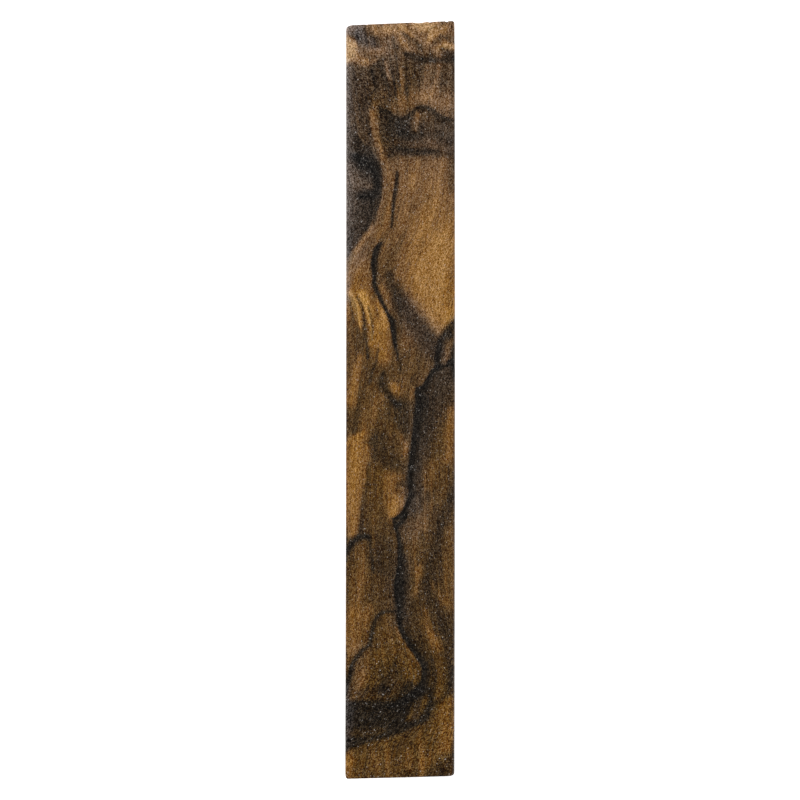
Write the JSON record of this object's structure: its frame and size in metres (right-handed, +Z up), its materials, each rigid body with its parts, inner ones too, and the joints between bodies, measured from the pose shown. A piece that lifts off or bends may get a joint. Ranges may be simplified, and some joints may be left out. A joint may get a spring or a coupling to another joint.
{
  "type": "stabilized walnut block",
  "caption": "Square-section block of dark figured walnut, resin stabilized, with sawn ends and eased edges, for turning or for knife handles.",
  "frame": {"origin": "middle of the lower long face, on the surface that the block lies on", "axes": "+Y along the grain towards the end that is uppermost in the picture, +X to the right across the pictured face, +Z up out of that face"},
  "size_m": [0.0192, 0.1318, 0.019],
  "materials": {
    "stabilized_walnut": "satin"
  },
  "bodies": {
    "root": {"walnut_block": "stabilized_walnut"}
  },
  "joints": []
}
